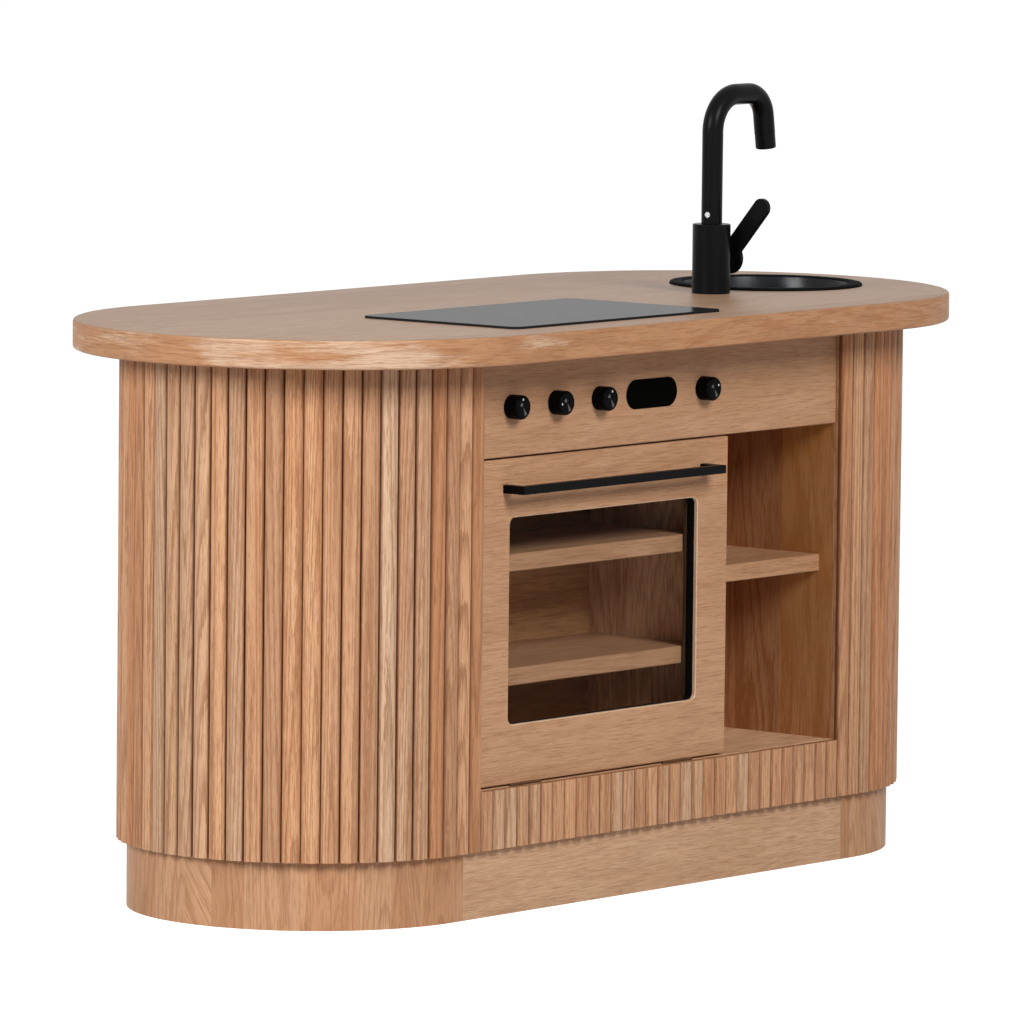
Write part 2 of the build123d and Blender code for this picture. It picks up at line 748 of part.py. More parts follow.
with BuildPart() as strike_plate:
    board_between(door_x - catch_length / 2, door_x + catch_length / 2, panel_back_y, strike_back_y,
                  door_top - joint_gap - strike_height, door_top - joint_gap)
save(strike_plate.part, "strike_plate")

# Basin: a spun steel bowl with a rolled rim that rests on the worktop
basin_floor_z = worktop_height - basin_depth
basin_lip_z = worktop_height + basin_rim_height


def ring_edge(part, radius, height):
    """The round edge nearest to this radius and height."""
    rings = part.edges().filter_by(GeomType.CIRCLE)
    return rings.sort_by(lambda ring: abs(ring.radius - radius) + abs(ring.arc_center.Z - height))[0]


with BuildPart() as basin:
    with BuildSketch(Plane(origin=(basin_x, basin_y, 0), x_dir=(1, 0, 0), z_dir=(0, -1, 0))):
        with BuildLine():
            Polyline((0, basin_floor_z), (basin_floor_radius, basin_floor_z),
                     (basin_mouth_radius, worktop_height), (basin_rim_radius, worktop_height),
                     (basin_rim_radius, basin_lip_z), (basin_mouth_radius - basin_wall, basin_lip_z),
                     (basin_floor_radius - basin_wall, basin_floor_z + basin_wall),
                     (0, basin_floor_z + basin_wall), (0, basin_floor_z))
        make_face()
    revolve(axis=Axis((basin_x, basin_y, 0), (0, 0, 1)))
    fillet(ring_edge(basin, basin_floor_radius, basin_floor_z), basin_corner)
    fillet(ring_edge(basin, basin_floor_radius - basin_wall, basin_floor_z + basin_wall),
           basin_corner - basin_wall)
    fillet(ring_edge(basin, basin_rim_radius, basin_lip_z), basin_rim_round)
    fillet(ring_edge(basin, basin_mouth_radius - basin_wall, basin_lip_z), basin_rim_round)
save(basin.part, "basin")

# Tap body: a turned pillar, bored at the top for the spout and at the side for the lever screw
with BuildPart() as tap_body:
    with Locations((tap_x, tap_y, worktop_height + tap_body_height / 2)):
        Cylinder(tap_body_radius, tap_body_height)
    chamfer(tap_body.edges().sort_by(Axis.Z)[-1], tap_body_edge)
    with Locations((tap_x, tap_y, tap_top - tap_bore_depth / 2)):
        Cylinder(tap_bore_radius, tap_bore_depth, mode=Mode.SUBTRACT)
    with Locations((tap_x, tap_y, worktop_height + stud_in_body / 2)):
        Cylinder(stud_radius, stud_in_body, mode=Mode.SUBTRACT)
    hole_middle = tap_x + tap_body_radius - lever_screw_in_body / 2
    with Locations(Location((hole_middle, tap_y, lever_height), (0, 90, 0))):
        Cylinder(lever_screw_radius, lever_screw_in_body, mode=Mode.SUBTRACT)
save(tap_body.part, "tap_body")

with BuildPart() as tap_stud:
    stud_bottom = worktop_height - stud_below_top
    with Locations((tap_x, tap_y, (stud_bottom + worktop_height + stud_in_body) / 2)):
        Cylinder(stud_radius, worktop_height + stud_in_body - stud_bottom)
save(tap_stud.part, "tap_stud")

with BuildPart() as tap_washer:
    with Locations((tap_x, tap_y, worktop_underside - washer_thickness / 2)):
        Cylinder(washer_radius, washer_thickness)
        Cylinder(stud_radius, washer_thickness, mode=Mode.SUBTRACT)
save(tap_washer.part, "tap_washer")

with BuildPart() as tap_nut:
    with BuildSketch(Plane.XY.offset(worktop_underside - washer_thickness - nut_height)):
        with Locations((tap_x, tap_y)):
            RegularPolygon(nut_across_flats / 2, 6, major_radius=False)
            Circle(stud_radius, mode=Mode.SUBTRACT)
    extrude(amount=nut_height)
save(tap_nut.part, "tap_nut")

# Spout: a swan-neck tube with a spigot that turns in the pillar
spout_foot = tap_top + spout_clearance
spout_line_top = spout_top - spout_radius
lean = math.radians(spout_lean)
last_bend_turn = math.pi / 2 - lean
last_bend_z = spout_line_top - spout_last_bend * (1 - math.cos(last_bend_turn))
last_bend_x = spout_reach - (last_bend_z - outlet_bottom) * math.tan(lean)
outlet_top_x = spout_reach - outlet_length * math.sin(lean)
outlet_top_z = outlet_bottom + outlet_length * math.cos(lean)
with BuildPart() as tap_spout:
    with BuildLine(Plane(origin=(tap_x, tap_y, 0), x_dir=(1, 0, 0), z_dir=(0, -1, 0))) as spout_path:
        rise = Line((0, spout_foot), (0, spout_line_top - spout_first_bend))
        first_bend = RadiusArc(rise @ 1, (spout_first_bend, spout_line_top), spout_first_bend)
        level = Line(first_bend @ 1, (last_bend_x - spout_last_bend * math.sin(last_bend_turn),
                                      spout_line_top))
        last_bend = RadiusArc(level @ 1, (last_bend_x, last_bend_z), spout_last_bend)
        drop = Line(last_bend @ 1, (outlet_top_x, outlet_top_z))
    with BuildSketch(Plane.XY.offset(spout_foot)):
        with Locations((tap_x, tap_y)):
            Circle(spout_radius)
            Circle(spout_radius - spout_wall, mode=Mode.SUBTRACT)
    sweep(path=spout_path.wire())
    with Locations((tap_x, tap_y, spout_foot - spout_spigot_length / 2 + spout_wall)):
        Cylinder(spout_spigot_radius, spout_spigot_length + 2 * spout_wall)
    with Locations((tap_x, tap_y, spout_foot + spout_wall)):
        Cylinder(spout_radius, 2 * spout_wall)
    screw_angle = math.radians(set_screw_angle)
    screw_dir = Vector(math.cos(screw_angle), math.sin(screw_angle), 0)
    screw_out = spout_radius - set_screw_depth
    screw_plane = Plane(origin=Vector(tap_x, tap_y, set_screw_height) + screw_dir * screw_out,
                        z_dir=screw_dir)
    with BuildSketch(screw_plane):
        Circle(set_screw_radius)
    extrude(amount=2 * set_screw_depth, mode=Mode.SUBTRACT)
save(tap_spout.part, "tap_spout")

with BuildPart() as tap_set_screw:
    with BuildSketch(screw_plane):
        Circle(set_screw_radius)
    extrude(amount=set_screw_depth + set_screw_proud)
save(tap_set_screw.part, "tap_set_screw")

outlet_plane = Plane(origin=(tap_x + spout_reach, tap_y, outlet_bottom), x_dir=(0, 1, 0),
                     z_dir=(-math.sin(lean), 0, math.cos(lean)))
with BuildPart() as tap_outlet:
    with BuildSketch(outlet_plane):
        Circle(outlet_radius)
    extrude(amount=outlet_length)
    chamfer(tap_outlet.edges().filter_by(GeomType.CIRCLE).sort_by(Axis.Z)[0], tap_body_edge)
    with BuildSketch(outlet_plane):
        Circle(outlet_mouth_radius)
    extrude(amount=outlet_length - spout_wall, mode=Mode.SUBTRACT)
save(tap_outlet.part, "tap_outlet")

# Lever: a round hub on the right of the pillar with a flat blade leaning to the front
hub_from = tap_body_radius + lever_clearance
hub_to = lever_disc_from + lever_disc_thickness
lever_plane = Plane(origin=(tap_x, tap_y, lever_height), x_dir=(0, 1, 0), z_dir=(1, 0, 0))
with BuildPart() as tap_lever:
    with BuildSketch(lever_plane.offset(lever_blade_from)):
        with Locations(Location((0, 0), 90 + lever_tilt)):
            with Locations(((lever_length - lever_width / 2) / 2, 0)):
                SlotOverall(lever_length + lever_width / 2, lever_width)
    extrude(amount=lever_blade)
    blade_sides = tap_lever.edges().group_by(Axis.X)
    chamfer(blade_sides[0] + blade_sides[-1], lever_edge)
    with BuildSketch(lever_plane.offset(hub_from)):
        Circle(lever_neck_radius)
    extrude(amount=lever_disc_from - hub_from)
    with BuildSketch(lever_plane.offset(lever_disc_from)):
        Circle(lever_disc_radius)
    extrude(amount=lever_disc_thickness)
    chamfer(tap_lever.edges().filter_by(GeomType.CIRCLE).sort_by(Axis.X)[-1], lever_edge)
    with BuildSketch(lever_plane.offset(hub_from)):
        Circle(lever_screw_radius + lever_screw_play)
    extrude(amount=hub_to - hub_from, mode=Mode.SUBTRACT)
    with BuildSketch(lever_plane.offset(hub_to - lever_screw_head)):
        Circle(lever_screw_head_radius + lever_screw_play)
    extrude(amount=lever_screw_head, mode=Mode.SUBTRACT)
save(tap_lever.part, "tap_lever")

with BuildPart() as lever_screw:
    screw_from = tap_body_radius - lever_screw_in_body
    head_from = hub_to - lever_screw_head + lever_screw_play
    with BuildSketch(lever_plane.offset(screw_from)):
        Circle(lever_screw_radius)
    extrude(amount=head_from - screw_from)
    with BuildSketch(lever_plane.offset(head_from)):
        Circle(lever_screw_head_radius)
    extrude(amount=lever_screw_head - lever_screw_play)
save(lever_screw.part, "lever_screw")
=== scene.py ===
import math

import bmesh
import bpy
from mathutils import Matrix, Vector


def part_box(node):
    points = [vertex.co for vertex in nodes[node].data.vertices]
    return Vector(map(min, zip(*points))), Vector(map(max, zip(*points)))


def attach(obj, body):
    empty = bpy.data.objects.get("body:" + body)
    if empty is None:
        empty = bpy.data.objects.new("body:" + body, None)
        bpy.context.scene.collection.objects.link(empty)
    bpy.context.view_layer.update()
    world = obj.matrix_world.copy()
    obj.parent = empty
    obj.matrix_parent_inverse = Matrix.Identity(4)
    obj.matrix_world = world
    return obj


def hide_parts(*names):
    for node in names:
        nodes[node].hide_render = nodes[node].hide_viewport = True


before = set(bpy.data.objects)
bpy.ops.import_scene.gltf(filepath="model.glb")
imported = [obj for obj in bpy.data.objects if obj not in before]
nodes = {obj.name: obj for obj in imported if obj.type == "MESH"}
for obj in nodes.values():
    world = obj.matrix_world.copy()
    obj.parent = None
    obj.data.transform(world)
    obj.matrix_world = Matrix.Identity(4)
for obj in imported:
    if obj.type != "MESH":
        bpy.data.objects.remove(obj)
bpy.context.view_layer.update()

# Camera: it stands to the left and in front, a little above the worktop and far off, with a long
# lens. The place and turn were fitted to the straight edges and slat joints of the kitchen.
camera_aim = Vector((-0.012896, 0.0, 0.381676))
camera_azimuth, camera_elevation, camera_roll = math.radians(-50.787), math.radians(5.714), 0.01054
camera_back = Vector((math.sin(camera_azimuth) * math.cos(camera_elevation),
                      -math.cos(camera_azimuth) * math.cos(camera_elevation),
                      math.sin(camera_elevation)))
camera_distance = 9.6833
focal_share_of_frame = 9248.25 / 1024
camera_data = bpy.data.cameras.new("front_left_view")
camera_data.sensor_width = 36.0
camera_data.lens = focal_share_of_frame * camera_data.sensor_width
camera_data.clip_end = 200.0
camera = bpy.data.objects.new("front_left_view", camera_data)
camera.rotation_mode = "QUATERNION"
camera.location = camera_aim + camera_back * camera_distance
camera.rotation_quaternion = ((-camera_back).to_track_quat("-Z", "Y")
                              @ Matrix.Rotation(camera_roll, 3, "Z").to_quaternion())
bpy.context.scene.collection.objects.link(camera)
bpy.context.scene.camera = camera
bpy.context.scene.view_settings.view_transform = "Standard"


# Studio: two large soft lamps and an even room light. The room and the floor are white to the
# camera and to reflections, and the floor keeps a faint shadow of the kitchen.
class Reading:
    """One output in a node tree. Ordinary sums on it add the Math nodes."""

    def __init__(self, recipe, socket):
        self.recipe, self.socket = recipe, socket

    def sum(self, operation, *terms):
        return self.recipe.node("ShaderNodeMath", {"operation": operation}, dict(enumerate(terms)))

    def __add__(self, other): return self.sum("ADD", self, other)
    def __radd__(self, other): return self.sum("ADD", other, self)
    def __sub__(self, other): return self.sum("SUBTRACT", self, other)
    def __rsub__(self, other): return self.sum("SUBTRACT", other, self)
    def __mul__(self, other): return self.sum("MULTIPLY", self, other)
    def __rmul__(self, other): return self.sum("MULTIPLY", other, self)
    def __truediv__(self, other): return self.sum("DIVIDE", self, other)
    def __rtruediv__(self, other): return self.sum("DIVIDE", other, self)
    def __pow__(self, other): return self.sum("POWER", self, other)
    def __lt__(self, other): return self.sum("LESS_THAN", self, other)
    def __gt__(self, other): return self.sum("GREATER_THAN", self, other)


class Recipe:
    """A node tree being written. node() is the one way a node gets into it."""

    def __init__(self, tree):
        self.tree = tree

    def node(self, kind, settings=None, sockets=None, out=0):
        made = self.tree.nodes.new(kind)
        for key, value in (settings or {}).items():
            setattr(made, key, value)
        for key, value in (sockets or {}).items():
            if isinstance(value, Reading):
                self.tree.links.new(value.socket, made.inputs[key])
            else:
                made.inputs[key].default_value = value
        return Reading(self, made.outputs[out] if made.outputs else None)


def finish_named(name):
    """An empty material and the recipe that writes it."""
    material = bpy.data.materials.new(name)
    material.use_nodes = True
    material.node_tree.nodes.clear()
    return material, Recipe(material.node_tree)


def seen_or_mirrored(recipe):
    """1 for what the camera, a reflection or a clear pane shows, 0 for what lights the object."""
    light_path = recipe.node("ShaderNodeLightPath").socket.node
    camera_ray, glossy_ray, clear_ray = (
        Reading(recipe, light_path.outputs[ray])
        for ray in ("Is Camera Ray", "Is Glossy Ray", "Is Transmission Ray"))
    either = camera_ray.sum("MAXIMUM", camera_ray, glossy_ray)
    return either.sum("MAXIMUM", either, clear_ray)


def place_on(recipe):
    """Object coordinates, in metres."""
    return recipe.node("ShaderNodeTexCoord", None, None, 3)


white = (1, 1, 1, 1)
room = bpy.data.worlds.new("white_room")
bpy.context.scene.world = room
room.use_nodes = True
room.node_tree.nodes.clear()
room_recipe = Recipe(room.node_tree)
room_light = room_recipe.node("ShaderNodeBackground", None, {"Color": white, "Strength": 0.12})
room_backdrop = room_recipe.node("ShaderNodeBackground", None, {"Color": white, "Strength": 1.0})
room_recipe.node("ShaderNodeOutputWorld", None, {"Surface": room_recipe.node(
    "ShaderNodeMixShader", None, {0: seen_or_mirrored(room_recipe), 1: room_light, 2: room_backdrop})})

floor_radius = 60.0
floor_grey = (0.62, 0.62, 0.62, 1)
shadow_inner, shadow_outer = 0.6, 2.5
glow_near, glow_far = 0.80, 0.95
floor_mesh = bpy.data.meshes.new("studio_floor")
floor_form = bmesh.new()
bmesh.ops.create_circle(floor_form, cap_ends=True, radius=floor_radius, segments=96)
floor_form.to_mesh(floor_mesh)
floor_form.free()
floor = bpy.data.objects.new("studio_floor", floor_mesh)
bpy.context.scene.collection.objects.link(floor)
floor_white, recipe = finish_named("pale_floor")
floor_matt = recipe.node("ShaderNodeBsdfDiffuse", None, {"Color": floor_grey})
floor_reach = recipe.node("ShaderNodeVectorMath", {"operation": "LENGTH"}, {0: place_on(recipe)}, 1)
floor_glow = recipe.node("ShaderNodeMapRange", {"interpolation_type": "SMOOTHSTEP"},
                         {"Value": floor_reach, "From Min": shadow_inner, "From Max": shadow_outer,
                          "To Min": glow_near, "To Max": glow_far})
floor_bright = recipe.node("ShaderNodeAddShader", None, {0: floor_matt, 1: recipe.node(
    "ShaderNodeEmission", None, {"Color": white, "Strength": 1.0})})
recipe.node("ShaderNodeOutputMaterial", None, {"Surface": recipe.node(
    "ShaderNodeMixShader", None,
    {0: floor_glow * seen_or_mirrored(recipe), 1: floor_matt, 2: floor_bright})})
floor_mesh.materials.append(floor_white)


def soft_lamp(name, place, watts, aim=(0, 0, 0.35), width=1.8):
    """A square lamp that isn't seen itself, turned to the middle of the kitchen."""
    data = bpy.data.lights.new(name, "AREA")
    data.size, data.energy = width, watts
    lamp = bpy.data.objects.new(name, data)
    lamp.location = place
    lamp.rotation_euler = (Vector(aim) - Vector(place)).to_track_quat("-Z", "Y").to_euler()
    lamp.visible_camera = False
    bpy.context.scene.collection.objects.link(lamp)


soft_lamp("front_lamp", (-1.10, -4.10, 3.0), 184)
soft_lamp("side_lamp", (-4.48, 0.45, 2.45), 168)

# Side panels: upright oak boards at both sides of the front opening, glued up from staves, sanded
# and lacquered satin. Behind the pale front edge their inner faces carry painted shade, darker and
# redder, in two boards.
mm = 0.001
AXES = ("X", "Y", "Z")


def tint(recipe, share, first, second):
    """A share of the second colour laid over the first."""
    return recipe.node("ShaderNodeMix", {"data_type": "RGBA"}, {0: share, 6: first, 7: second}, 2)


def vector_sum(recipe, operation, first, second):
    return recipe.node("ShaderNodeVectorMath", {"operation": operation}, {0: first, 1: second})


def three_parts(recipe, vector):
    """The three numbers in a vector or colour."""
    split = recipe.node("ShaderNodeSeparateXYZ", None, {0: vector}).socket.node
    return tuple(Reading(recipe, part) for part in split.outputs)


def clouds(recipe, place, scales, detail=2.0, roughness=0.5, distortion=0.0):
    """Noise from 0 to 1, with this many lumps to the metre each way."""
    return recipe.node("ShaderNodeTexNoise", {"noise_dimensions": "3D"},
                       {"Vector": vector_sum(recipe, "MULTIPLY", place, scales), "Scale": 1.0,
                        "Detail": detail, "Roughness": roughness, "Distortion": distortion})


def between(value, low, high):
    """0 below low, 1 above high and a smooth step from one to the other."""
    return value.recipe.node("ShaderNodeMapRange", {"interpolation_type": "SMOOTHSTEP"},
                             {"Value": value, "From Min": low, "From Max": high})


def surface(recipe, look):
    """End a recipe with the surface that has this look."""
    recipe.node("ShaderNodeOutputMaterial", None,
                {"Surface": recipe.node("ShaderNodeBsdfPrincipled", None, look)})


def oak(recipe, grain, lot, pale, tan, brown, flame=0.8, line=0.30, fleck=0.50, rings=17,
        figure=(1.7, 15, 15), pores=(27, 540, 540), broad=(6, 26, 26), lot_reach=0.5, ripeness=0.0,
        sheen=0.45, gloss=1.25, stain_or_shade=None, stain_or_shade_colour=None):
    """Lacquered oak. grain is the place along, across and into the wood, and lot is three random
    numbers that stand for the tree it came from. flame is the share of the broad tan patches, line
    that of the growth rings and fleck that of the pores."""
    chance, tone, _ = three_parts(recipe, lot)
    grain = vector_sum(recipe, "ADD", grain, vector_sum(recipe, "MULTIPLY", lot, (7, 5, 3)))
    steps = clouds(recipe, grain, (70, 760, 760), 2.0, 0.6)
    drift = clouds(recipe, grain, broad, 2.0, 0.5, 0.3)
    flames = between(drift + (steps - 0.5) * 0.40 + (chance - 0.5) * lot_reach + ripeness, 0.40, 0.62)
    growth = clouds(recipe, grain, figure, 1.5) * rings + steps * 0.6
    growth = growth.sum("FRACT", growth)
    latewood = between(growth, 0.40, 0.90) - between(growth, 0.90, 1.0)
    dashes = between(clouds(recipe, grain, pores, 3.0, 0.70), 0.52, 0.62)
    fibres = clouds(recipe, grain, (60, 820, 820), 3.0, 0.6)
    colour = tint(recipe, flames * flame, pale, tan)
    colour = tint(recipe, latewood * line, colour, brown)
    colour = tint(recipe, dashes * fleck, colour, brown)
    colour = tint(recipe, between(fibres, 0.35, 0.75) * 0.30, colour, brown)
    colour = tint(recipe, tone * 0.30, colour, (0.31, 0.16, 0.085, 1))
    # A stain or painted shade over the wood: real streaks on the worktop edge, painted shade in the
    # slats' grooves and on the side panels' inner faces.
    if stain_or_shade is not None:
        colour = tint(recipe, stain_or_shade, colour, stain_or_shade_colour)
    relief = recipe.node("ShaderNodeBump", None, {"Strength": 0.3, "Distance": 0.12 * mm,
                                                  "Height": fibres * 0.5 - dashes})
    surface(recipe, {"Base Color": colour, "Roughness": fibres * 0.12 + sheen, "Normal": relief,
                     "IOR": gloss})


def oak_board(name, along, across, stave, pale=(0.58, 0.345, 0.200, 1), tan=(0.48, 0.260, 0.138, 1),
              brown=(0.26, 0.112, 0.048, 1), seed=0.0, shift=0.0, inner_painted_shade=None, **look):
    """Oak board with its grain along one axis, glued up from staves side by side across another."""
    material, recipe = finish_named(name)
    axis = dict(zip(AXES, three_parts(recipe, place_on(recipe))))
    depth = next(way for way in AXES if way not in (along, across))
    stave_number = (axis[across] + shift) / stave
    stave_number = stave_number.sum("FLOOR", stave_number)
    lot = recipe.node("ShaderNodeTexWhiteNoise", {"noise_dimensions": "1D"},
                      {"W": stave_number + seed}, 1)
    grain = recipe.node("ShaderNodeCombineXYZ", None,
                        {0: axis[along], 1: axis[across], 2: axis[depth]})
    if inner_painted_shade is not None:
        look["stain_or_shade"], look["stain_or_shade_colour"] = inner_painted_shade(recipe, axis["Y"], axis["Z"])
    oak(recipe, grain, lot, pale, tan, brown, **look)
    return material


def finish_with(material, *names):
    """Give CAD pieces that stay as they are one finish."""
    for name in names:
        slots = nodes[name].data.materials
        slots.clear()
        slots.append(material)


front_edge_y, edge_blur, side_seam_y, side_stave = -186.5 * mm, 0.3 * mm, -117 * mm, 71 * mm
front_board_shade, rear_board_shade = (0.43, 0.155, 0.018, 1), (0.24, 0.055, 0.0, 1)


def side_panel_painted_shade(recipe, y, z):
    """Painted shade on the inner faces: darker and redder, a little stronger towards the top."""
    inner = between(y, front_edge_y - edge_blur, front_edge_y + edge_blur)
    return inner * (z * 0.6 + 0.30), tint(recipe, y > side_seam_y, front_board_shade, rear_board_shade)


upright_grain = oak_board("board_upright_grain", "Z", "Y", side_stave, seed=3.0, line=0.70, fleck=0.65,
                          shift=4 * side_stave - side_seam_y, inner_painted_shade=side_panel_painted_shade)
finish_with(upright_grain, "left_side_panel", "right_side_panel")

# Inner boards: back panels, divider, floor, ceiling and shelves of lacquered oak. The shelves lie
# loose on steel pins, and the rest is glued between the sides.
finish_with(oak_board("board_long_grain", "X", "Z", 66 * mm), "rear_panel", "front_apron")
finish_with(oak_board("board_back_grain", "X", "Z", 66 * mm, pale=(0.58, 0.32, 0.14, 1),
                      tan=(0.48, 0.24, 0.09, 1), seed=17.0), "inner_back_panel")
# The divider takes a much paler copy of the oak, painted light so that it reads as lit inside the
# oven.
finish_with(oak_board("divider_painted_light", "Z", "Y", 83 * mm, pale=(0.86, 0.56, 0.34, 1),
                      tan=(0.74, 0.45, 0.255, 1), seed=23.0), "divider_panel")
# The floor board takes a paler copy of the oak, a painted sheen, besides its real higher gloss.
finish_with(oak_board("floor_board_painted_sheen", "X", "Y", 62 * mm, pale=(0.86, 0.54, 0.33, 1),
                      tan=(0.80, 0.465, 0.26, 1), seed=14.0, gloss=1.6), "floor_board")
finish_with(oak_board("board_flat_grain", "X", "Y", 62 * mm, seed=9.0),
            "ceiling_board", "top_rails", "oven_upper_shelf", "oven_lower_shelf", "open_shelf",
            "end_formers", "basin_former", "plinth_cross_rails")

# Control panel: one oak board with its grain along the front, bored for the knob shafts and cut for
# the display. It is glued between the side panels under the worktop.
finish_with(oak_board("panel_oak", "X", "Z", 51 * mm, pale=(0.535, 0.313, 0.182, 1),
                      tan=(0.44, 0.233, 0.121, 1), seed=21.0, flame=0.5, line=0.18,
                      pores=(32, 900, 900)), "control_panel")

# Plinth: straight boards at the front and rear and bent ends, set back under the cabinet. The bent
# ends are strips of veneer with upright grain, glued round the formers, as the skins above them are.
finish_with(oak_board("plinth_oak", "X", "Z", 80 * mm, pale=(0.66, 0.42, 0.26, 1),
                      tan=(0.57, 0.345, 0.20, 1), seed=31.0, line=0.14, flame=0.5,
                      pores=(28, 900, 900)), "plinth_front", "plinth_rear")


def smooth_copy(name, source, crease=30.0):
    """A copy of a CAD piece, merged and smoothed, that stands for it."""
    mesh = nodes[source].data.copy()
    mesh.name = name
    form = bmesh.new()
    form.from_mesh(mesh)
    bmesh.ops.remove_doubles(form, verts=form.verts, dist=0.002 * mm)
    bmesh.ops.dissolve_limit(form, angle_limit=math.radians(0.05), verts=form.verts, edges=form.edges)
    bmesh.ops.triangulate(form, faces=form.faces)
    form.to_mesh(mesh)
    form.free()
    mesh.materials.clear()
    if "custom_normal" in mesh.attributes:
        mesh.attributes.remove(mesh.attributes["custom_normal"])
    mesh.shade_smooth()
    mesh.set_sharp_from_angle(angle=math.radians(crease))
    return bpy.data.objects.new(name, mesh)


def fit(piece, body, material, slot, *stands_for):
    """Put a finished piece on its body, in its finish."""
    bpy.context.scene.collection.objects.link(piece)
    if material is not None:
        piece.data.materials.clear()
        piece.data.materials.append(material)
    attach(piece, body)
    if stands_for:
        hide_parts(*stands_for)
    return piece


def round_the_end(recipe, centre, radius):
    """How far round an oval outline a point lies, and its height."""
    x, y, z = three_parts(recipe, place_on(recipe))
    past_centre = x.sum("ABSOLUTE", x) - centre
    past_centre = past_centre.sum("MAXIMUM", past_centre, 0.0)
    turn = past_centre.sum("ARCTAN2", past_centre, y * -1.0)
    straight = x.sum("MINIMUM", x.sum("MAXIMUM", x, -centre), centre)
    return straight + x.sum("SIGN", x) * turn * radius, z


end_centre_x, plinth_radius, veneer_strip = 333.5 * mm, 188 * mm, 46 * mm
plinth_veneer, recipe = finish_named("plinth_end_veneer")
way, height = round_the_end(recipe, end_centre_x, plinth_radius)
# The strips differ in width: the division is moved to and fro along the curve.
strip_number = (way + (way * 31.0).sum("SINE", way * 31.0) * 0.012) / veneer_strip
strip_number = strip_number.sum("FLOOR", strip_number)
strip_lot = recipe.node("ShaderNodeTexWhiteNoise", {"noise_dimensions": "1D"}, {"W": strip_number}, 1)
# Most strips run straight up; in about one in six the grain leans.
lean = three_parts(recipe, strip_lot)[2]
lean = between(lean, 0.82, 0.84) * 0.55 + (lean - 0.5) * 0.10
oak(recipe, recipe.node("ShaderNodeCombineXYZ", None, {0: height, 1: way + height * lean, 2: 0.0}),
    strip_lot, (0.60, 0.345, 0.195, 1), (0.48, 0.24, 0.12, 1), (0.25, 0.10, 0.04, 1),
    flame=0.7, line=0.38, fleck=0.4, rings=26)
for end in ("left", "right"):
    fit(smooth_copy(f"{end}_plinth_bend", f"plinth_{end}_end"), "cabinet", plinth_veneer, "bent_ply",
        f"plinth_{end}_end")
finish_with(plinth_veneer, "left_skin", "right_skin")
finish_with(upright_grain, "rear_skin", "front_strip_skin")


